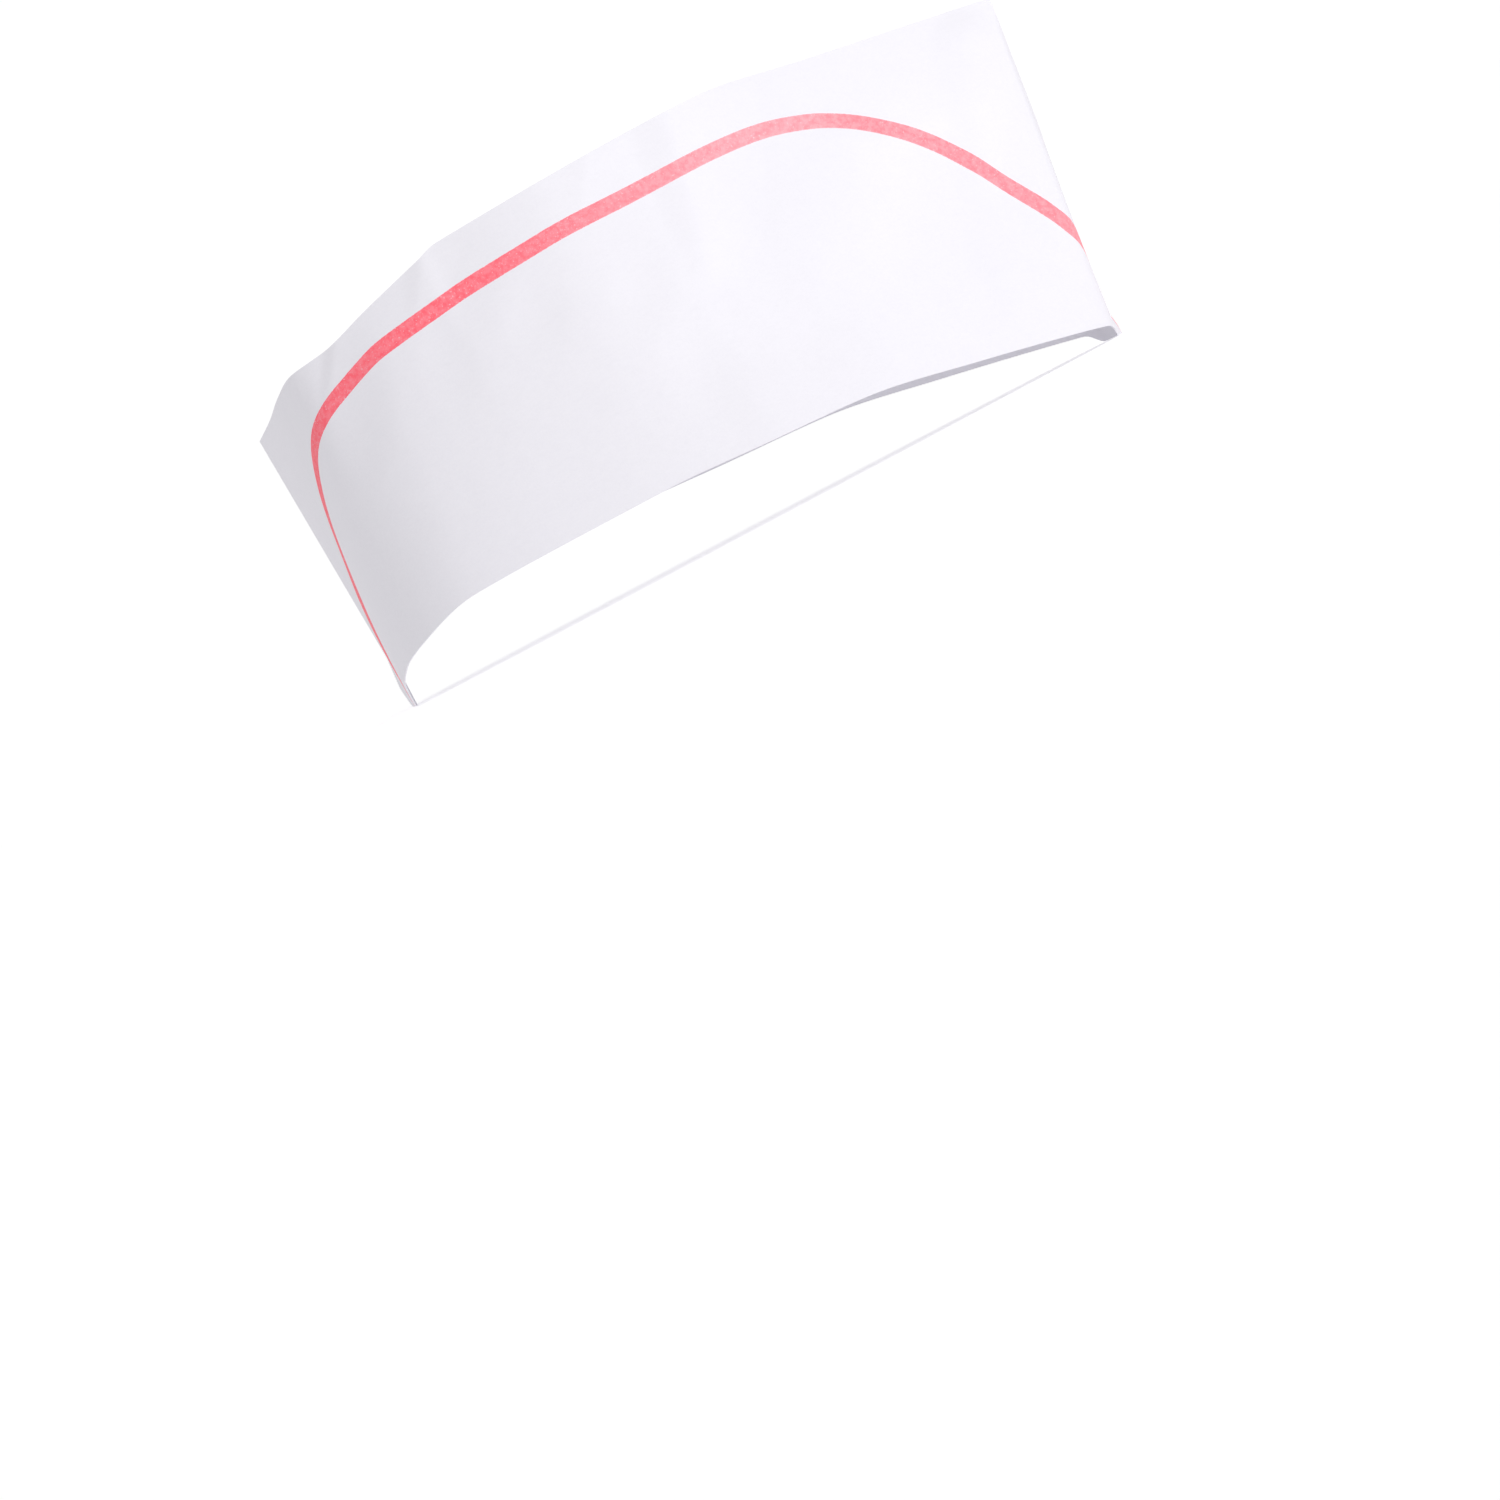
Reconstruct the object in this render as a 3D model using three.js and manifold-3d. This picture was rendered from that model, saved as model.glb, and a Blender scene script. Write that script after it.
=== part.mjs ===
// Paper soda jerk hat: two side panels that meet at a front and a back seam, and a crown that is
// folded down between their upper edges. Millimetres. +X is the front of the hat, +Y its left and
// +Z up. It stands on its rim at z = 0, with the origin under the middle of its length.
import * as THREE from 'three';
import { mergeVertices } from 'three/addons/utils/BufferGeometryUtils.js';
import Module from 'manifold-3d';

// Paper
const wall = 1;
const seamGap = 0.3;
const foldGap = 0.3;

// Rim, from the foot of the back seam to the foot of the front seam
const rimLength = 199.5;
const rimHalfWidth = 74;
const rimArch = 18.6;

// Upper edges
const backHeight = 77;
const frontHeight = 89.6;
const edgeRise = 17;
const backLean = 2.6;
const frontLean = 10.5;
const edgeHalfWidth = 54;

// Crown fold: how deep its centre crease lies under the upper edges, and how far the paper's
// lower face may lie under that crease where the fold is narrow, in thicknesses
const foldDepth = 58;
const creaseLimit = 2.5;

// Dents in the side panels
const dentDepth = 1.6;

// Fineness
const stepsPerRow = 4;
const stepsUp = 9;
const stepsAcrossFold = 6;
// How far to both sides a direction along the panel is measured, in rows
const slopeRows = 0.05;

const paperWhite = 0xf4f2f8;
const paperRoughness = 0.7;

// Sections from the back seam, the first row, to the front seam, the last. The rim columns are
// shares of rimLength, rimHalfWidth and rimArch. The edge columns are shares of the whole length
// between the peaks, of edgeHalfWidth, and of edgeRise above a straight line between the peaks.
// The crease columns are shares of the whole length, and of foldDepth below the upper edge.
const columns = [
  'rimForward', 'rimOut', 'rimLift',
  'edgeForward', 'edgeOut', 'edgeLift',
  'creaseForward', 'creaseDrop',
];
const sections = [
  [0, 0, 0, 0, 0, 0, 0.03, 1],
  [-0.001, 0.19, 0, 0.017, 0.215, 0.14, 0.037, 0.98],
  [-0.003, 0.43, 0.29, 0.036, 0.463, 0.32, 0.055, 0.9],
  [0.008, 0.655, 0.52, 0.055, 0.712, 0.49, 0.095, 0.73],
  [0.048, 0.824, 0.75, 0.106, 0.847, 0.48, 0.142, 0.59],
  [0.12, 0.93, 0.96, 0.17, 0.915, 0.73, 0.202, 0.505],
  [0.215, 0.975, 0.99, 0.245, 0.955, 0.94, 0.268, 0.44],
  [0.266, 0.985, 0.995, 0.28, 0.973, 1.03, 0.3, 0.415],
  [0.388, 1, 1, 0.389, 1, 1.02, 0.398, 0.365],
  [0.514, 0.986, 0.935, 0.497, 0.9, 1, 0.497, 0.4],
  [0.652, 0.892, 0.86, 0.624, 0.685, 0.87, 0.617, 0.56],
  [0.807, 0.709, 0.57, 0.77, 0.435, 0.575, 0.763, 0.79],
  [0.945, 0.523, 0.258, 0.97, 0.059, 0.085, 0.92, 0.985],
  [0.979, 0.408, 0.172, 0.993, 0.014, 0.02, 0.95, 1],
  [0.99, 0.196, 0, 0.997, 0.006, 0.01, 0.965, 1],
  [1, 0, 0, 1, 0, 0, 0.985, 1],
];

// Dents: section row, share of the way up, share of dentDepth, and half their size in rows and in
// shares of the way up
const dents = [
  { row: 4, up: 0.86, depth: 0.9, rows: 1, tall: 0.3 },
  { row: 6.9, up: 0.92, depth: 0.5, rows: 0.9, tall: 0.3 },
  { row: 9.8, up: 0.8, depth: 0.9, rows: 1, tall: 0.5 },
  { row: 9.6, up: 0.3, depth: 0.7, rows: 1.2, tall: 0.35 },
  { row: 11.3, up: 0.45, depth: 0.6, rows: 0.7, tall: 0.4 },
  { row: 15, up: 0.22, depth: 0.45, rows: 1.1, tall: 0.3 },
];

// The panels are made half a row too long at each seam and then cut off at the seam plane.
const rowsPastSeam = 0.5;
// The crown starts and ends where there is room for it between the panels, in rows.
const crownFirstRow = 0.12;
const crownLastRow = 11.8;

const lastRow = sections.length - 1;
const edgeLength = backLean + rimLength + frontLean;
const middle = (rimLength + frontLean - backLean) / 2;

// Slopes of a smooth line through the values of a column. A slope is level at a highest or lowest
// value, so that the line never passes it.
function slopesOf(values) {
  const steps = values.slice(1).map((value, row) => value - values[row]);
  return values.map((value, row) => {
    if (row === 0) return steps[0];
    if (row === lastRow) return steps[lastRow - 1];
    const before = steps[row - 1];
    const after = steps[row];
    return before * after > 0 ? (2 * before * after) / (before + after) : 0;
  });
}

const lines = {};
for (const [index, name] of columns.entries()) {
  const values = sections.map((row) => row[index]);
  lines[name] = { values, slopes: slopesOf(values) };
}

// The value of a column at a place between two rows, or straight on past the first or last row.
function share(name, place) {
  const { values, slopes } = lines[name];
  if (place < 0) return values[0] + slopes[0] * place;
  if (place > lastRow) return values[lastRow] + slopes[lastRow] * (place - lastRow);
  const row = Math.min(Math.floor(place), lastRow - 1);
  const t = place - row;
  const rest = 1 - t;
  return values[row] * rest * rest * (1 + 2 * t)
    + slopes[row] * t * rest * rest
    + values[row + 1] * t * t * (3 - 2 * t)
    - slopes[row + 1] * t * t * rest;
}

// Points of the right side, at negative y.
function rimPoint(place) {
  return new THREE.Vector3(
    share('rimForward', place) * rimLength,
    -share('rimOut', place) * rimHalfWidth,
    share('rimLift', place) * rimArch,
  );
}

function edgePoint(place) {
  const forward = share('edgeForward', place);
  return new THREE.Vector3(
    forward * edgeLength - backLean,
    -share('edgeOut', place) * edgeHalfWidth,
    THREE.MathUtils.lerp(backHeight, frontHeight, forward) + share('edgeLift', place) * edgeRise,
  );
}

function smoothSide(place, up) {
  return rimPoint(place).lerp(edgePoint(place), up);
}

// Level direction from a panel's outer face straight into the hat.
function inward(place, up) {
  const along = smoothSide(place + slopeRows, up).sub(smoothSide(place - slopeRows, up));
  return new THREE.Vector3(-along.y, along.x, 0).normalize();
}

function dentAt(place, up) {
  let depth = 0;
  for (const dent of dents) {
    const away = ((place - dent.row) / dent.rows) ** 2 + ((up - dent.up) / dent.tall) ** 2;
    if (away < 1) depth += dentDepth * dent.depth * (1 - away) ** 2;
  }
  return depth;
}

// A point of the right panel, so far in from its outer face.
function sidePoint(place, up, depth) {
  return smoothSide(place, up).addScaledVector(inward(place, up), depth + dentAt(place, up));
}

// A closed body between two grids of points, the first of them the face that is on the right
// when looking from the first row of points to the last with the last column up.
function bodyBetween(rightGrid, leftGrid) {
  const rows = rightGrid.length;
  const width = rightGrid[0].length;
  const positions = [...rightGrid.flat(), ...leftGrid.flat()].flatMap((p) => [p.x, p.y, p.z]);
  const faces = [];
  const right = (i, j) => i * width + j;
  const left = (i, j) => rows * width + right(i, j);
  const quad = (a, b, c, d) => faces.push(a, b, c, a, c, d);
  for (let i = 0; i + 1 < rows; i += 1) {
    for (let j = 0; j + 1 < width; j += 1) {
      quad(right(i, j), right(i + 1, j), right(i + 1, j + 1), right(i, j + 1));
      quad(left(i, j), left(i, j + 1), left(i + 1, j + 1), left(i + 1, j));
    }
    quad(right(i, 0), left(i, 0), left(i + 1, 0), right(i + 1, 0));
    quad(right(i, width - 1), right(i + 1, width - 1), left(i + 1, width - 1), left(i, width - 1));
  }
  for (let j = 0; j + 1 < width; j += 1) {
    quad(right(0, j), right(0, j + 1), left(0, j + 1), left(0, j));
    quad(right(rows - 1, j), left(rows - 1, j), left(rows - 1, j + 1), right(rows - 1, j + 1));
  }
  const geometry = new THREE.BufferGeometry();
  geometry.setAttribute('position', new THREE.Float32BufferAttribute(positions, 3));
  geometry.setIndex(faces);
  return geometry;
}

const wasm = await Module();
wasm.setup();

function toSolid(geometry) {
  return new wasm.Manifold(new wasm.Mesh({
    numProp: 3,
    vertProperties: new Float32Array(geometry.getAttribute('position').array),
    triVerts: new Uint32Array(geometry.getIndex().array),
  }));
}

function toGeometry(solid) {
  const mesh = solid.getMesh();
  const geometry = new THREE.BufferGeometry();
  geometry.setAttribute('position', new THREE.BufferAttribute(new Float32Array(mesh.vertProperties), 3));
  geometry.setIndex(new THREE.BufferAttribute(new Uint32Array(mesh.triVerts), 1));
  return geometry;
}

function places(from, to, steps) {
  return Array.from({ length: steps + 1 }, (_, step) => from + ((to - from) * step) / steps);
}

// A block over all the room to the right of the seam plane, half the seam's gap away from it.
function rightOfSeams() {
  const size = 4 * edgeLength;
  const block = new THREE.BoxGeometry(size, size, size);
  block.translate(middle, -(size + seamGap) / 2, 0);
  block.deleteAttribute('normal');
  block.deleteAttribute('uv');
  return toSolid(mergeVertices(block));
}

// The right panel, cut off at the seam plane.
function rightPanelGeometry() {
  const steps = Math.round((lastRow + 2 * rowsPastSeam) * stepsPerRow);
  const along = places(-rowsPastSeam, lastRow + rowsPastSeam, steps);
  const heights = places(0, 1, stepsUp);
  const outer = along.map((place) => heights.map((up) => sidePoint(place, up, 0)));
  const inner = along.map((place) => heights.map((up) => sidePoint(place, up, wall)));
  const panel = toSolid(bodyBetween(outer, inner));
  return toGeometry(panel.intersect(rightOfSeams()));
}

// The same shape on the other side of the seam plane, turned right side out again.
function mirroredGeometry(geometry) {
  const mirrored = geometry.clone();
  mirrored.scale(1, -1, 1);
  const faces = mirrored.getIndex();
  for (let corner = 0; corner < faces.count; corner += 3) {
    const second = faces.getX(corner + 1);
    faces.setX(corner + 1, faces.getX(corner + 2));
    faces.setX(corner + 2, second);
  }
  return mirrored;
}

// The crown's upper face on the right side: straight from the panel's upper edge, which it clears
// by the fold's gap and its own thickness, down to the crease.
function crownLine(place) {
  const edge = sidePoint(place, 1, 0);
  const crease = new THREE.Vector3(
    share('creaseForward', place) * edgeLength - backLean,
    0,
    edge.z - share('creaseDrop', place) * foldDepth,
  );
  const steepness = (edge.z - crease.z) / edge.distanceTo(crease);
  const start = sidePoint(place, 1, wall + foldGap + wall * steepness);
  return { start, crease };
}

function crownGeometry() {
  const steps = Math.round((crownLastRow - crownFirstRow) * stepsPerRow);
  const across = places(0, 1, stepsAcrossFold);
  const rightHalf = places(crownFirstRow, crownLastRow, steps).map((place) => {
    const { start, crease } = crownLine(place);
    return across.map((t) => start.clone().lerp(crease, t));
  });
  const rightUnder = rightHalf.map((row, i) => row.map((point, j) => underPoint(rightHalf, i, j)));
  const whole = (half) => half.map((row) => {
    const other = row.slice(0, -1).reverse();
    return [...row, ...other.map((point) => new THREE.Vector3(point.x, -point.y, point.z))];
  });
  return bodyBetween(whole(rightHalf), whole(rightUnder));
}

// The point of the crown's lower face under a point of its upper one. At the crease the two
// halves meet, so it lies straight below, at most the crease's limit times the wall away.
function underPoint(grid, i, j) {
  const lastAlong = grid.length - 1;
  const lastAcross = grid[0].length - 1;
  const along = grid[Math.min(i + 1, lastAlong)][j].clone().sub(grid[Math.max(i - 1, 0)][j]);
  const across = grid[i][lastAcross].clone().sub(grid[i][0]);
  const up = along.cross(across).normalize();
  if (up.z < 0) up.negate();
  if (j < lastAcross) return grid[i][j].clone().addScaledVector(up, -wall);
  const drop = Math.min(wall / up.z, creaseLimit * wall);
  return grid[i][j].clone().add(new THREE.Vector3(0, 0, -drop));
}

function paper(name, geometry) {
  geometry.computeVertexNormals();
  const material = new THREE.MeshStandardMaterial({
    color: paperWhite,
    roughness: paperRoughness,
    metalness: 0,
  });
  const mesh = new THREE.Mesh(geometry, material);
  mesh.name = name;
  mesh.position.x = -middle;
  return mesh;
}

const hat = new THREE.Group();
const rightPanel = rightPanelGeometry();
hat.add(paper('right_side_panel', rightPanel));
hat.add(paper('left_side_panel', mirroredGeometry(rightPanel)));
hat.add(paper('crown_fold', crownGeometry()));

export default hat;
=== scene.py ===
"""Paper soda jerk hat.

Two printed side panels meet at a front and a back seam. A plain crown is folded down between
their upper edges. Shapes are worked out in millimetres from the foot of the back seam, with x
forward, y to the wearer's left and z up, and are moved to the frame's place in metres at the end.
"""
import math
from bisect import bisect_right
from typing import NamedTuple

import bpy
from mathutils import Matrix, Vector


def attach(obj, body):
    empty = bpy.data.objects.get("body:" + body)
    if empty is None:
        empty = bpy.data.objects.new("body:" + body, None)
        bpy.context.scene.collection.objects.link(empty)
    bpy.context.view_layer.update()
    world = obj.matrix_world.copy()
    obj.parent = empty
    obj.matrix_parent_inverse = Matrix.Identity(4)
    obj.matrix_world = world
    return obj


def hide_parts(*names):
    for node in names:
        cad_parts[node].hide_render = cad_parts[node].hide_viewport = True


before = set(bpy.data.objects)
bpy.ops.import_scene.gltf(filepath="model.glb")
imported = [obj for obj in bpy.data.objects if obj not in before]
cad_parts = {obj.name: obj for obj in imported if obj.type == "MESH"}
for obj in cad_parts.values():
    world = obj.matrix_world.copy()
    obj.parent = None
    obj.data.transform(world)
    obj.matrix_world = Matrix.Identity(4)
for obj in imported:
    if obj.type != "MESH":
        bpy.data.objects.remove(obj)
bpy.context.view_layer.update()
bpy.ops.object.select_all(action="DESELECT")

MM = 0.001

# Sizes in millimetres
PAPER = 0.3
RIM_LENGTH = 199.5
RIM_HALF_WIDTH = 74
RIM_ARCH = 18.6
BACK_HEIGHT = 77
FRONT_HEIGHT = 89.6
EDGE_RISE = 17
BACK_LEAN = 2.6
FRONT_LEAN = 10.5
EDGE_HALF_WIDTH = 54
FOLD_DEPTH = 58
STRIPE_WIDTH = 4.3
LAP = 9

# Gaps in millimetres, so that no two sheets touch: from a panel to the seam plane or to a lap,
# from a panel to the crown, and from the crown's edge to the seam plane
SEAM_GAP = 0.05
CROWN_GAP = 0.04
CREST_GAP = 0.02

# Millimetres by which the crown's closed end lies behind and below the hat's peak
PEAK_INSET = 1.2
PEAK_DROP = 1

# The crown's leaves swell up by so many millimetres, or by this share of the crown's half width
# where that is less
CROWN_BULGE = 0.72
CROWN_BULGE_SHARE = 0.03

# How far up the other panel a lap goes, as a share of its height
LAP_UP = 0.985

# Cells of the sheets: millimetres along, and rows up a side panel and down half of the crown
CELL = 1.15
CROWN_CELL = CELL * 1.1
PANEL_ROWS = 76
CROWN_ROWS = 52

# Edges that turn less than this are shaded smooth
SMOOTH_ANGLE = math.radians(32)

# Steps in which the length along a panel is added up
FINE_STEPS = 1200

# Millimetres to each side over which the stripe's slope is taken, and a distance from the
# stripe's middle at which nothing is printed
SLOPE_STEP = 0.5
OFF_STRIPE = 100

EDGE_LENGTH = BACK_LEAN + RIM_LENGTH + FRONT_LEAN
MIDDLE = (RIM_LENGTH + FRONT_LEAN - BACK_LEAN) / 2

# Sections from the back seam to the front seam. The rim columns are shares of RIM_LENGTH,
# RIM_HALF_WIDTH and RIM_ARCH. The edge columns are shares of EDGE_LENGTH, EDGE_HALF_WIDTH and
# EDGE_RISE. The crease columns are shares of EDGE_LENGTH, and of FOLD_DEPTH below the edge.
COLUMNS = (
    "rim_forward", "rim_out", "rim_lift",
    "edge_forward", "edge_out", "edge_lift",
    "crease_forward", "crease_drop",
)
SECTIONS = (
    (0, 0, 0, -0.004, 0, -0.03, 0.03, 1),
    (-0.001, 0.19, 0, 0.017, 0.215, 0.14, 0.037, 0.98),
    (-0.003, 0.43, 0.29, 0.036, 0.463, 0.34, 0.055, 0.9),
    (0.008, 0.655, 0.52, 0.059, 0.72, 0.49, 0.095, 0.73),
    (0.048, 0.824, 0.75, 0.106, 0.847, 0.535, 0.142, 0.59),
    (0.12, 0.93, 0.96, 0.17, 0.915, 0.73, 0.202, 0.505),
    (0.215, 0.975, 0.99, 0.245, 0.955, 0.94, 0.268, 0.44),
    (0.266, 0.985, 0.995, 0.28, 0.973, 1.03, 0.3, 0.415),
    (0.388, 1, 1, 0.389, 1, 1.02, 0.398, 0.365),
    (0.514, 0.986, 0.935, 0.497, 0.9, 1, 0.497, 0.4),
    (0.652, 0.892, 0.86, 0.624, 0.685, 0.935, 0.617, 0.56),
    (0.807, 0.709, 0.57, 0.77, 0.435, 0.575, 0.763, 0.79),
    (0.96, 0.486, 0.231, 0.981, 0.035, 0.053, 0.92, 0.985),
    (0.98, 0.408, 0.172, 0.996, 0.006, 0.011, 0.95, 1),
    (0.991, 0.196, 0, 0.9985, 0.003, 0.004, 0.965, 1),
    (1, 0, 0, 1, 0, 0, 0.985, 1),
)
LAST = len(SECTIONS) - 1

# The crown's first and last section, the one up to which its fold is open, and the number of
# sections over which its crease then climbs to the peak
CROWN_START = 0.03
CROWN_END = 14.93
CROWN_OPEN = 11.8
CROWN_CLOSING = 0.9


class Dent(NamedTuple):
    """A soft oval dent, so many millimetres deep. A negative depth is a swelling.

    What is along is in the unit of its table, and what is up is a share of the panel's height.
    """

    along: float
    up: float
    depth: float
    half_along: float
    half_up: float

    def depth_at(self, along, up):
        away = (
            ((along - self.along) / self.half_along) ** 2 + ((up - self.up) / self.half_up) ** 2
        )
        return self.depth * (1 - away) ** 2 if away < 1 else 0


class Crease(NamedTuple):
    """A folded line from start to end, each (millimetres along, share of the way up).

    The paper stands out on it by `tall` millimetres, or goes in where that is negative. The
    folded strip is `behind` millimetres wide on the side to the back, and `ahead` on the side to
    the front. `sharp` goes from 0, soft, to 1. The crease fades out to its end.
    """

    start: tuple
    end: tuple
    tall: float
    behind: float
    ahead: float
    sharp: float

    # How far a crease goes on before its start, as a share of its length, and the share of its
    # width that is left at its end
    RUN_IN = 0.2
    NARROWEST = 0.45

    def height_at(self, run, rise, height):
        """How far it stands out at a point, on a panel of a height, all in millimetres."""
        start = Vector((self.start[0], self.start[1] * height))
        line = Vector((self.end[0], self.end[1] * height)) - start
        here = Vector((run, rise)) - start
        t = here.dot(line) / line.length_squared
        if not -self.RUN_IN < t < 1:
            return 0
        side = (here.x * line.y - here.y * line.x) / line.length
        half = self.ahead if side < 0 else self.behind
        fade = 1 - t * t if t > 0 else 1 - (t / self.RUN_IN) ** 2
        near = 1 - abs(side) / (half * (self.NARROWEST + (1 - self.NARROWEST) * fade))
        if near <= 0:
            return 0
        soft = near * near * (3 - 2 * near)
        return self.tall * fade * (near * self.sharp + soft * (1 - self.sharp))


# Large dents of both panels, along in sections
DENTS = (
    Dent(4.2, 0.8, 0.8, 0.9, 0.3),
    Dent(6.9, 0.92, 0.8, 0.9, 0.3),
    Dent(9.8, 0.8, 1.44, 1, 0.5),
    Dent(9.6, 0.3, 1.12, 1.2, 0.35),
    Dent(11.3, 0.45, 0.96, 0.7, 0.4),
    Dent(15, 0.28, 2.1, 1.8, 0.36),
    Dent(15, 0, -1.2, 1.2, 0.1),
)

# Middle of the printed stripe: millimetres along the panel from the back seam, and above the rim
STRIPE = (
    (0, 5), (10, 27), (22, 42.8), (36, 55.7), (52, 63.1), (70, 65.6), (100, 68.2), (132, 70.2),
    (156, 72.6), (178, 74.6), (196, 75), (208, 73), (220, 67.5), (232, 58.8), (245, 44.2),
    (260, 27), (276.4, 4),
)


def hermite(first, last, first_slope, last_slope, t):
    """A smooth curve between two values with given slopes, at a share t of the way."""
    rest = 1 - t
    return (
        first * rest * rest * (1 + 2 * t)
        + first_slope * t * rest * rest
        + last * t * t * (3 - 2 * t)
        - last_slope * t * t * rest
    )


def slopes_of(values):
    """Slopes of a smooth line through values, level at a highest or lowest one."""
    steps = [after - before for before, after in zip(values, values[1:])]
    inner = [
        2 * a * b / (a + b) if a * b > 0 else 0
        for a, b in zip(steps, steps[1:])
    ]
    return [steps[0], *inner, steps[-1]]


LINES = {
    name: (values, slopes_of(values)) for name, values in zip(COLUMNS, zip(*SECTIONS))
}


def share(name, place):
    """A column's value between two sections, or straight on past the ends."""
    values, slopes = LINES[name]
    if place < 0:
        return values[0] + slopes[0] * place
    if place > LAST:
        return values[LAST] + slopes[LAST] * (place - LAST)
    row = min(int(place), LAST - 1)
    return hermite(
        values[row], values[row + 1], slopes[row], slopes[row + 1], place - row
    )


def rim_point(place):
    """The right panel's lower edge at a place along it, in sections."""
    return Vector((
        share("rim_forward", place) * RIM_LENGTH,
        -share("rim_out", place) * RIM_HALF_WIDTH,
        share("rim_lift", place) * RIM_ARCH,
    ))


def edge_point(place):
    """The right panel's upper edge at a place along it, in sections."""
    forward = share("edge_forward", place)
    return Vector((
        forward * EDGE_LENGTH - BACK_LEAN,
        -share("edge_out", place) * EDGE_HALF_WIDTH,
        BACK_HEIGHT + (FRONT_HEIGHT - BACK_HEIGHT) * forward
        + share("edge_lift", place) * EDGE_RISE,
    ))


class Station:
    """One upright line of the right panel at a place along it."""

    # Half the length, in sections, over which its direction is measured
    STEP = 0.05

    def __init__(self, place):
        self.place = place
        self.rim = rim_point(place)
        self.edge = edge_point(place)
        self.height = (self.edge - self.rim).length
        before, after = place - self.STEP, place + self.STEP
        self.rim_run = rim_point(after) - rim_point(before)
        self.edge_run = edge_point(after) - edge_point(before)

    def inward(self, up):
        """The level direction into the hat at a share of the height."""
        run = self.rim_run.lerp(self.edge_run, up)
        return Vector((-run.y, run.x, 0)).normalized()

    def at(self, up, depth):
        """The point at a share of the height, so deep inside the smooth panel."""
        return self.rim.lerp(self.edge, up) + self.inward(up) * depth


def even_places(first, last, cell):
    """Places between two sections, evenly spread along the panel's middle height."""
    fine = [first + (last - first) * step / FINE_STEPS for step in range(FINE_STEPS + 1)]
    points = [rim_point(place).lerp(edge_point(place), 0.5) for place in fine]
    run = [0.0]
    for before, after in zip(points, points[1:]):
        run.append(run[-1] + (after - before).length)
    count = max(2, round(run[-1] / cell))
    places, runs = [], []
    for step in range(count + 1):
        goal = run[-1] * step / count
        index = min(bisect_right(run, goal), len(run) - 1)
        span = run[index] - run[index - 1]
        part = (goal - run[index - 1]) / span if span else 0
        places.append(fine[index - 1] + (fine[index] - fine[index - 1]) * min(1, part))
        runs.append(goal)
    return places, runs


def smooth_line(table):
    """A function that gives the value at any place along a table of (along, value), smoothly."""
    runs = [row[0] for row in table]
    values = [row[1] for row in table]
    gaps = [after - before for before, after in zip(runs, runs[1:])]
    steps = [(after - before) / gap for before, after, gap in zip(values, values[1:], gaps)]
    slopes = [steps[0]]
    for index in range(1, len(steps)):
        before, after = gaps[index - 1], gaps[index]
        slopes.append((steps[index - 1] * after + steps[index] * before) / (before + after))
    slopes.append(steps[-1])

    def value(run):
        run = min(max(run, runs[0]), runs[-1])
        index = min(bisect_right(runs, run) - 1, len(gaps) - 1)
        gap = gaps[index]
        return hermite(
            values[index],
            values[index + 1],
            slopes[index] * gap,
            slopes[index + 1] * gap,
            (run - runs[index]) / gap,
        )

    return value


# Creases and small dents that one panel has, the dents along in millimetres
RIGHT_CREASES = (
    Crease((59, 1.02), (51, 0.84), -0.7, 11, 4, 1),
    Crease((96, 1.02), (86, 0.84), 0.5, 6, 12, 0.8),
    Crease((146, 1.02), (137, 0.86), 0.4, 6, 9, 1),
    Crease((169.5, 1.03), (159, 0.5), 2.2, 11, 26, 0.5),
    Crease((212, 0.72), (198, 0.3), 0.5, 13, 16, 0),
    Crease((249, 0.9), (239, 0.44), 0.8, 10, 14, 0),
    Crease((232, 0.6), (221, 0.06), -0.5, 18, 12, 0),
)
LEFT_CREASES = (
    Crease((61, 1.02), (54, 0.85), -0.6, 11, 4, 1),
    Crease((108, 1.02), (98, 0.86), 0.7, 8, 5, 1),
    Crease((184, 1.02), (174, 0.6), 1.1, 12, 12, 0.8),
    Crease((172, 0.66), (166, 0.2), 0.6, 10, 12, 0),
    Crease((234, 0.9), (222, 0.5), 0.5, 8, 9, 0.3),
)
RIGHT_HOLLOWS = (
    Dent(90, 0.68, 0.35, 9, 0.2),
    Dent(115.5, 0.66, 0.4, 10, 0.15),
    Dent(141, 0.56, 0.35, 9, 0.16),
    Dent(146, 0.26, 0.45, 12, 0.2),
    Dent(200, 0.3, 0.3, 16, 0.3),
    Dent(247, 0.5, 0.35, 9, 0.3),
)
LEFT_HOLLOWS = (
    Dent(150, 0.65, 0.5, 14, 0.2),
    Dent(195, 0.4, 0.5, 16, 0.2),
    Dent(240, 0.6, 0.4, 12, 0.2),
    Dent(100, 0.45, -0.4, 16, 0.25),
    Dent(60, 0.4, 0.3, 12, 0.25),
)


def surface_depth(station, run, up, creases, hollows):
    """How far in from the smooth panel the paper lies."""
    large = sum(dent.depth_at(station.place, up) for dent in DENTS)
    small = sum(dent.depth_at(run, up) for dent in hollows)
    rise = up * station.height
    return large + small - sum(
        crease.height_at(run, rise, station.height) for crease in creases
    )


def placed(point, mirrored=False):
    """A worked-out point in the frame, in metres."""
    y = -point.y if mirrored else point.y
    return Vector((point.x - MIDDLE, y, point.z)) * MM


def new_sheet(name, columns, rows):
    """A flat grid of so many columns along x and rows along y, one unit square."""
    bpy.ops.mesh.primitive_grid_add(
        x_subdivisions=columns, y_subdivisions=rows, size=1, location=(0, 0, 0)
    )
    sheet = bpy.context.object
    sheet.name = sheet.data.name = name
    return sheet


def grid_step(vertex, columns, rows):
    """Which column and row of the grid a vertex belongs to."""
    return (
        round((vertex.co.x + 0.5) * columns),
        round((vertex.co.y + 0.5) * rows),
    )


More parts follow.
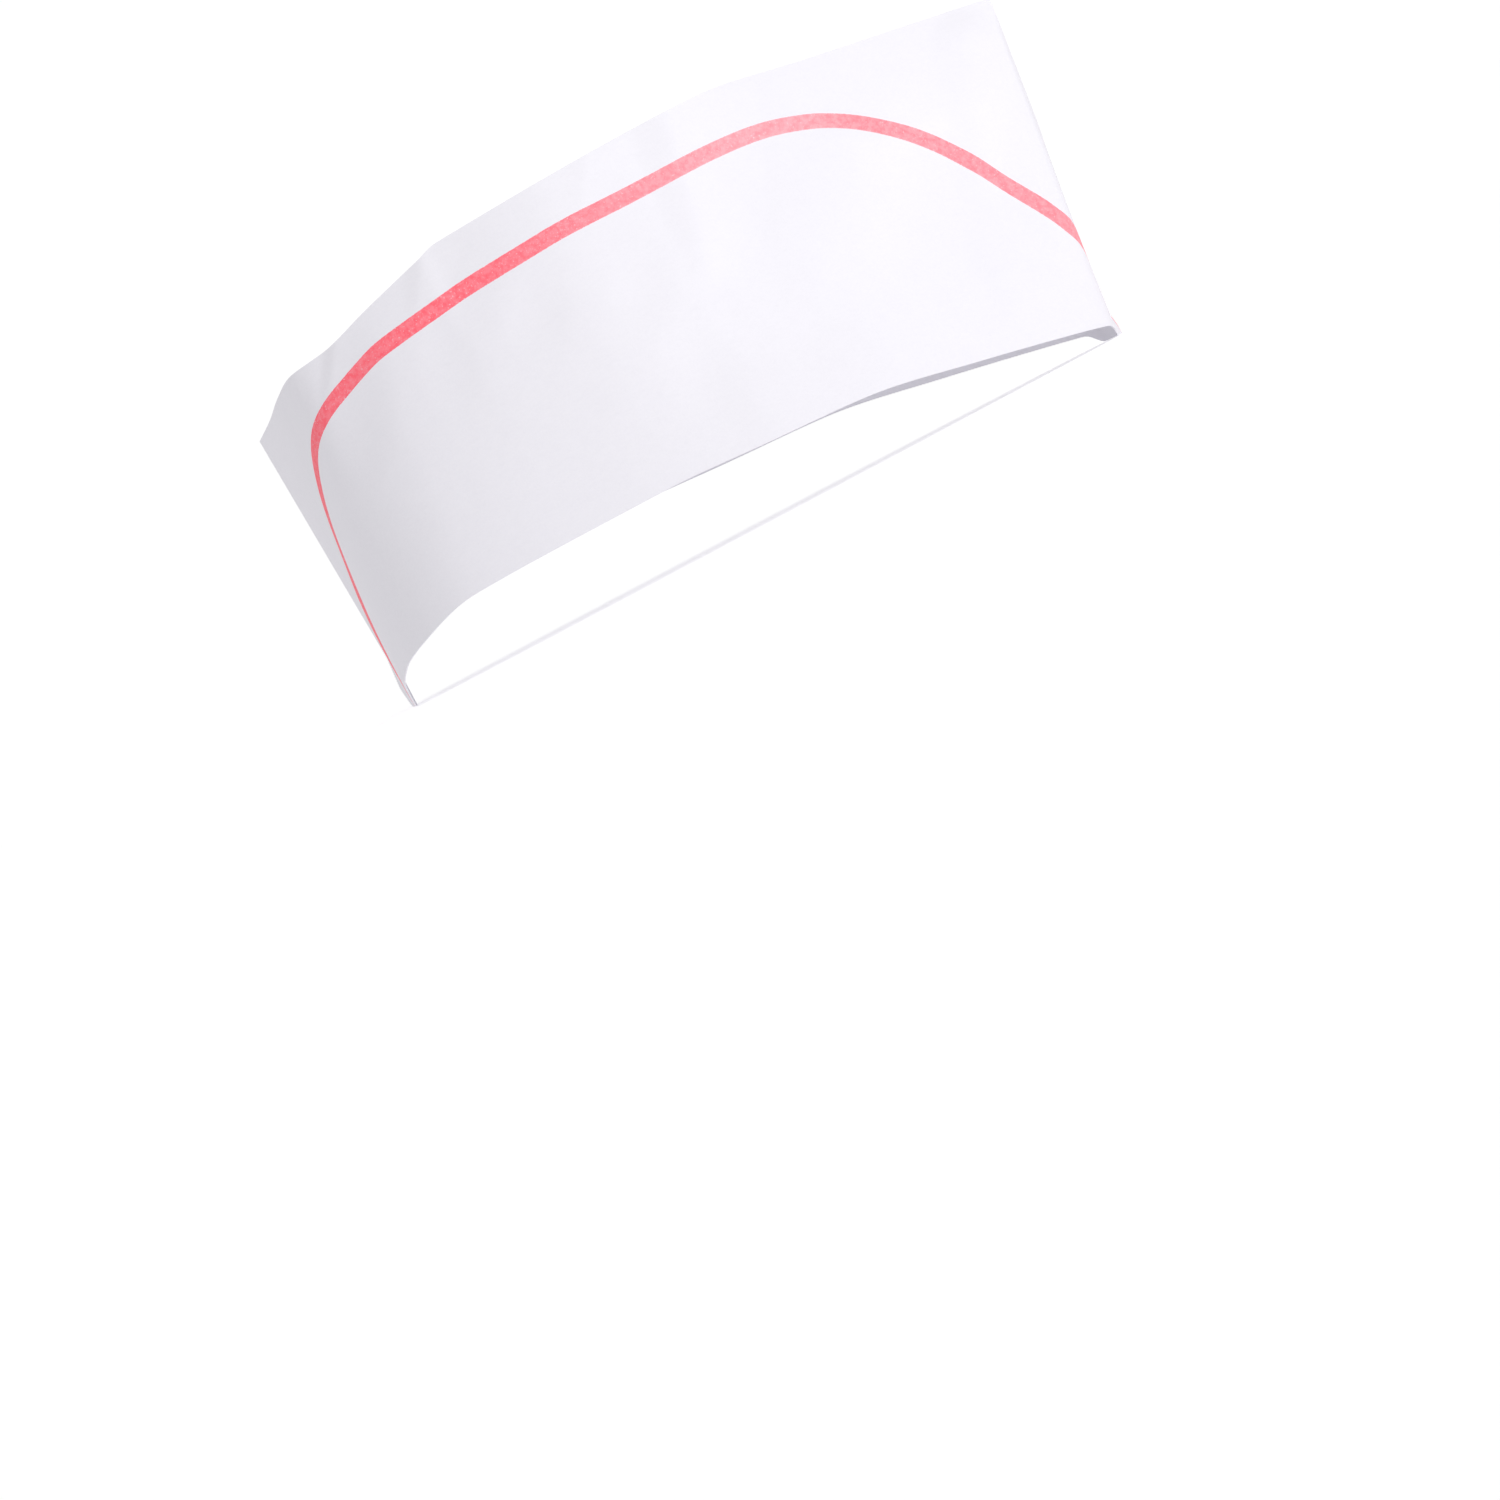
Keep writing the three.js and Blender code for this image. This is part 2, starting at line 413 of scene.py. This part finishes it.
def finish_sheet(sheet, flip, materials):
    """Gives the sheet its thickness inward, its materials and its shading."""
    bpy.context.view_layer.objects.active = sheet
    bpy.ops.object.mode_set(mode="EDIT")
    bpy.ops.mesh.select_all(action="SELECT")
    if flip:
        bpy.ops.mesh.flip_normals()
    bpy.ops.object.mode_set(mode="OBJECT")
    for material in materials:
        sheet.data.materials.append(material)
    solid = sheet.modifiers.new("paper thickness", "SOLIDIFY")
    solid.thickness = PAPER * MM
    solid.offset = -1
    solid.material_offset = len(materials) - 1
    solid.material_offset_rim = len(materials) - 1
    bpy.ops.object.modifier_apply(modifier=solid.name)
    bpy.ops.object.shade_smooth_by_angle(angle=SMOOTH_ANGLE)
    sheet.select_set(False)


PLACES, RUNS = even_places(0, LAST, CELL)
WHOLE_RUN = RUNS[-1]
STATIONS = [Station(place) for place in PLACES]
stripe_middle = smooth_line(STRIPE)


def stripe_offset(run, rise):
    """Millimetres from the stripe's middle line, positive above it."""
    low, high = max(run - SLOPE_STEP, 0), min(run + SLOPE_STEP, WHOLE_RUN)
    slope = (stripe_middle(high) - stripe_middle(low)) / (high - low)
    return (rise - stripe_middle(run)) / math.sqrt(1 + slope * slope)


def side_panel(name, mirrored, creases, hollows, lap, materials):
    """One printed side. One with laps goes on past both seams, inside the right panel."""
    lap_steps = round(lap / CELL)
    count = len(STATIONS) - 1
    columns = count + 2 * lap_steps
    sheet = new_sheet(name, columns, PANEL_ROWS)
    offsets = []
    for vertex in sheet.data.vertices:
        column, row = grid_step(vertex, columns, PANEL_ROWS)
        index = column - lap_steps
        up = row / PANEL_ROWS
        if 0 <= index <= count:
            station, run = STATIONS[index], RUNS[index]
            depth = surface_depth(station, run, up, creases, hollows)
            point = station.at(up, depth)
            point.y = min(point.y, -SEAM_GAP)
            vertex.co = placed(point, mirrored)
            offsets.append(stripe_offset(run, up * station.height))
        else:
            # A lap lies against the right panel, so it has that panel's creases
            index = -index if index < 0 else 2 * count - index
            station, run = STATIONS[index], RUNS[index]
            depth = surface_depth(station, run, up, RIGHT_CREASES, RIGHT_HOLLOWS)
            point = station.at(up * LAP_UP, depth + PAPER + SEAM_GAP)
            vertex.co = placed(point, not mirrored)
            offsets.append(OFF_STRIPE)
    sheet.data.attributes.new("stripe_offset", "FLOAT", "POINT")
    sheet.data.attributes["stripe_offset"].data.foreach_set("value", offsets)
    finish_sheet(sheet, mirrored, materials)
    return sheet


def crown_ends(place):
    """The right panel's upright line at a place, and the point of the crown's crease there."""
    station = Station(place)
    edge = station.at(1, sum(dent.depth_at(place, 1) for dent in DENTS))
    reach = min(place, CROWN_OPEN)
    crease_x = share("crease_forward", reach) * EDGE_LENGTH - BACK_LEAN
    crease_z = edge.z - share("crease_drop", reach) * FOLD_DEPTH
    crease = Vector((crease_x, 0, crease_z))
    if place > reach:
        peak = Vector((RIM_LENGTH + FRONT_LEAN - PEAK_INSET, 0, FRONT_HEIGHT - PEAK_DROP))
        crease = crease.lerp(peak, min(1, (place - reach) / CROWN_CLOSING))
    return station, crease


def crown(name, materials):
    """The plain top: from one upper edge down to the crease and up to the other edge."""
    places, runs = even_places(CROWN_START, CROWN_END, CROWN_CELL)
    columns = len(places) - 1
    across = 2 * CROWN_ROWS
    sheet = new_sheet(name, columns, across)
    ends = [crown_ends(place) for place in places]
    sides = ((RIGHT_CREASES, RIGHT_HOLLOWS), (LEFT_CREASES, LEFT_HOLLOWS))
    for vertex in sheet.data.vertices:
        column, row = grid_step(vertex, columns, across)
        station, crease = ends[column]
        run = runs[column]
        left = row > CROWN_ROWS
        t = (across - row if left else row) / CROWN_ROWS
        depth = surface_depth(station, run, 1, *sides[left]) + PAPER + CROWN_GAP
        start = station.at(1, depth)
        start.y = min(start.y, -CREST_GAP)
        point = start.lerp(crease, t)
        bulge = min(CROWN_BULGE, CROWN_BULGE_SHARE * abs(start.y))
        point.z += math.sin(math.pi * t) * bulge
        vertex.co = placed(point, left)
    finish_sheet(sheet, False, materials)
    return sheet


class Shade:
    """A value in a material's node tree. Arithmetic on it adds Math nodes."""

    def __init__(self, tree, socket=None):
        self.tree = tree
        self.socket = socket

    def node(self, kind, settings=None, inlets=None, outlet=0):
        """Adds a node, sets it up, feeds its sockets and gives one of its outlets."""
        made = self.tree.nodes.new(kind)
        for name, value in (settings or {}).items():
            setattr(made, name, value)
        for name, value in (inlets or {}).items():
            if isinstance(value, Shade):
                self.tree.links.new(value.socket, made.inputs[name])
            else:
                made.inputs[name].default_value = value
        return Shade(self.tree, made.outputs[outlet] if made.outputs else None)

    def maths(self, operation, first, second=0.0):
        return self.node("ShaderNodeMath", {"operation": operation}, {0: first, 1: second})

    def __add__(self, other):
        return self.maths("ADD", self, other)

    __radd__ = __add__

    def __sub__(self, other):
        return self.maths("SUBTRACT", self, other)

    def __rsub__(self, other):
        return self.maths("SUBTRACT", other, self)

    def __mul__(self, other):
        return self.maths("MULTIPLY", self, other)

    def __abs__(self):
        return self.maths("ABSOLUTE", self)

    def between(self, low, high):
        """0 at low, 1 at high, smoothly."""
        return self.node(
            "ShaderNodeMapRange",
            {"interpolation_type": "SMOOTHSTEP"},
            {"Value": self, "From Min": low, "From Max": high},
        )

    def noise(self, size, detail, roughness, stretch=(1, 1, 1), shift=(0, 0, 0)):
        """Noise with features of so many millimetres, 0.5 on average."""
        where = self.node("ShaderNodeTexCoord", outlet="Object")
        where = self.node(
            "ShaderNodeMapping", None, {"Vector": where, "Scale": stretch, "Location": shift}
        )
        return self.node(
            "ShaderNodeTexNoise",
            {"noise_dimensions": "3D"},
            {
                "Vector": where,
                "Scale": 1 / (size * MM),
                "Detail": detail,
                "Roughness": roughness,
            },
            outlet="Fac",
        )

    def mix(self, factor, first, second):
        """Two colours mixed."""
        return self.node(
            "ShaderNodeMix",
            {"data_type": "RGBA"},
            {"Factor": factor, 6: first, 7: second},
            outlet=2,
        )


PAPER_LIGHT = (0.83, 0.815, 0.865, 1)
PAPER_SHADE = (0.77, 0.755, 0.81, 1)
# Printing ink where it lies thick and where it lies thin, at the back, and towards the front with
# painted light making it lighter
INK_BACK = (1, 0.135, 0.18, 1)
INK_BACK_THIN = (1, 0.235, 0.285, 1)
INK_FRONT_LIT = (1, 0.3, 0.35, 1)
INK_FRONT_THIN_LIT = (1, 0.43, 0.48, 1)
# Metres forward of the hat's middle between which painted light turns the ink from its back
# colour to its lighter front colour, and between which that painted light falls back by a share
PAINTED_LIGHT_RISE = (-0.055, 0.04)
PAINTED_LIGHT_FALL = (0.045, 0.065)
PAINTED_LIGHT_FALL_SHARE = 0.35

# Millimetres: the depth of the paper's relief, half the width of the stripe's soft edge, and how
# far that edge wavers
RELIEF_DEPTH = 0.06
STRIPE_EDGE = 0.07
STRIPE_WAVER = 0.25

# The paper's tone between shade and light, and its roughness, where its patterns are even
PAPER_TONE = 0.6
PAPER_ROUGHNESS = 0.74


def new_material(name):
    """A material with no nodes yet, and a Shade that adds them."""
    material = bpy.data.materials.new(name)
    material.use_nodes = True
    material.node_tree.nodes.clear()
    return material, Shade(material.node_tree)


def paper_finish(start):
    """The colour, roughness and relief of uncoated paper."""
    grain = start.noise(0.55, 3, 0.65)
    clouds = start.noise(6, 3, 0.5, shift=(3, 1, 0))
    fibres = start.noise(0.9, 2, 0.5, stretch=(0.35, 1, 1), shift=(0, 5, 2))
    tone = (grain - 0.5) * 0.6 + (clouds - 0.5) * 0.2 + (fibres - 0.5) * 0.3 + PAPER_TONE
    colour = start.mix(tone.between(0, 1), PAPER_SHADE, PAPER_LIGHT)
    roughness = PAPER_ROUGHNESS + (grain - 0.5) * 0.2
    relief = grain * 0.6 + fibres * 0.4
    return colour, roughness, relief


def close_material(start, colour, roughness, relief):
    """Ends a paper material with its surface and output."""
    normal = start.node(
        "ShaderNodeBump",
        None,
        {"Strength": 0.35, "Distance": RELIEF_DEPTH * MM, "Height": relief},
    )
    surface = start.node(
        "ShaderNodeBsdfPrincipled",
        None,
        {
            "Base Color": colour,
            "Roughness": roughness,
            "Normal": normal,
            "Specular IOR Level": 0.25,
        },
    )
    start.node("ShaderNodeOutputMaterial", None, {"Surface": surface})


def plain_paper():
    """Bare paper, for the crown and the inside of the panels."""
    material, start = new_material("plain paper")
    close_material(start, *paper_finish(start))
    return material


def printed_paper():
    """Paper with the stripe printed on it, mottled, with fine unprinted specks, and with painted
    light on its ink towards the front.
    """
    material, start = new_material("printed paper")
    colour, roughness, relief = paper_finish(start)
    offset = start.node(
        "ShaderNodeAttribute", {"attribute_name": "stripe_offset"}, outlet="Fac"
    )
    ragged = (start.noise(0.5, 2, 0.6, shift=(7, 0, 3)) - 0.5) * STRIPE_WAVER
    half = STRIPE_WIDTH / 2
    inside = 1 - (abs(offset) + ragged).between(half - STRIPE_EDGE, half + STRIPE_EDGE)
    specks = start.noise(0.45, 2, 0.7, shift=(2, 9, 4)).between(0.6, 0.72)
    mottle = start.noise(1.3, 4, 0.65, shift=(5, 3, 8)).between(0.3, 0.7)
    place = start.node("ShaderNodeTexCoord", outlet="Object")
    forward = start.node("ShaderNodeSeparateXYZ", None, {"Vector": place}, outlet="X")
    # Painted light: the ink is painted lighter towards the front, where the light falls, and a
    # little darker again over its front end
    fade = forward.between(*PAINTED_LIGHT_RISE) - forward.between(*PAINTED_LIGHT_FALL) * PAINTED_LIGHT_FALL_SHARE
    ink = start.mix(
        fade,
        start.mix(mottle, INK_BACK, INK_BACK_THIN),
        start.mix(mottle, INK_FRONT_LIT, INK_FRONT_THIN_LIT),
    )
    colour = start.mix(inside * (1 - specks * 0.5), colour, ink)
    roughness = roughness - inside * 0.12
    close_material(start, colour, roughness, relief)
    return material


PLAIN = plain_paper()
PRINTED = printed_paper()

right = side_panel(
    "right_side", False, RIGHT_CREASES, RIGHT_HOLLOWS, 0, (PRINTED, PLAIN)
)
left = side_panel(
    "left_side", True, LEFT_CREASES, LEFT_HOLLOWS, LAP, (PRINTED, PLAIN)
)
top = crown("folded_crown", (PLAIN,))

for piece, node, slot in (
    (right, "right_side_panel", "printed_paper"),
    (left, "left_side_panel", "printed_paper"),
    (top, "crown_fold", "plain_paper"),
):
    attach(piece, "root")
    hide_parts(node)


# Metres, so wide that the floor's edge is out of sight
FLOOR_RADIUS = 12


def floor():
    """The plain pale floor."""
    bpy.ops.mesh.primitive_circle_add(vertices=96, radius=FLOOR_RADIUS, fill_type="NGON")
    made = bpy.context.object
    made.name = made.data.name = "floor"
    material, start = new_material("pale floor")
    surface = start.node(
        "ShaderNodeBsdfPrincipled",
        None,
        {
            "Base Color": (0.93, 0.93, 0.93, 1),
            "Roughness": 0.9,
            "Specular IOR Level": 0.1,
            "Emission Color": (1, 1, 1, 1),
            "Emission Strength": 0.44,
        },
    )
    start.node("ShaderNodeOutputMaterial", None, {"Surface": surface})
    made.data.materials.append(material)
    made.select_set(False)


floor()


def soft_light(name, place, aim, size, power):
    """A square soft box that shines from a place at a point."""
    lamp = bpy.data.lights.new(name, "AREA")
    lamp.shape = "SQUARE"
    lamp.size = size
    lamp.energy = power
    made = bpy.data.objects.new(name, lamp)
    bpy.context.scene.collection.objects.link(made)
    made.location = place
    made.rotation_euler = (Vector(aim) - Vector(place)).to_track_quat("-Z", "Y").to_euler()
    made.visible_camera = False


soft_light(
    "front light", place=(0.3, -0.45, 0.18), aim=(0.02, 0, 0.05), size=0.25, power=0.98
)


def white_room(strength, seen):
    """Even light from all sides. The camera sees it as the same white as the floor."""
    world = bpy.data.worlds.new("white room")
    bpy.context.scene.world = world
    world.use_nodes = True
    tree = world.node_tree
    tree.nodes.clear()
    start = Shade(tree)
    ray = start.node("ShaderNodeLightPath", outlet="Is Camera Ray")
    light = start.node(
        "ShaderNodeBackground", None, {"Strength": ray * (seen - strength) + strength}
    )
    light.socket.node.inputs["Color"].default_value = (1, 1, 1, 1)
    start.node("ShaderNodeOutputWorld", None, {"Surface": light})


white_room(strength=0.615, seen=1.02)

# The camera looks along +Y, a little to the front and down, and is rolled so that the hat's front
# stands up. DISTANCE, AIM and PICTURE are in metres: its distance from the aim, the point that it
# is aimed at, and the width of the picture there, 1500 pixels with four to a millimetre.
YAW = math.radians(3.0)
DIP = math.radians(1.8)
ROLL = math.radians(27.8)
DISTANCE = 2.2
AIM = Vector((68.9 - MIDDLE, 0, -48.7)) * MM
PICTURE = 1500 / 4 * MM


def camera():
    """The photo's view."""
    forward = Vector((
        math.sin(YAW) * math.cos(DIP), math.cos(YAW) * math.cos(DIP), -math.sin(DIP)
    ))
    level = Vector((math.cos(YAW), -math.sin(YAW), 0))
    upright = level.cross(forward)
    across = level * math.cos(ROLL) - upright * math.sin(ROLL)
    up = level * math.sin(ROLL) + upright * math.cos(ROLL)
    data = bpy.data.cameras.new("camera")
    data.sensor_fit = "HORIZONTAL"
    data.sensor_width = 36
    data.lens = data.sensor_width * DISTANCE / PICTURE
    data.clip_start = 0.1
    data.clip_end = 50
    made = bpy.data.objects.new("camera", data)
    bpy.context.scene.collection.objects.link(made)
    turn = Matrix((across, up, -forward)).transposed()
    made.matrix_world = Matrix.Translation(AIM - forward * DISTANCE) @ turn.to_4x4()
    bpy.context.scene.camera = made


camera()
bpy.context.scene.view_settings.view_transform = "Standard"
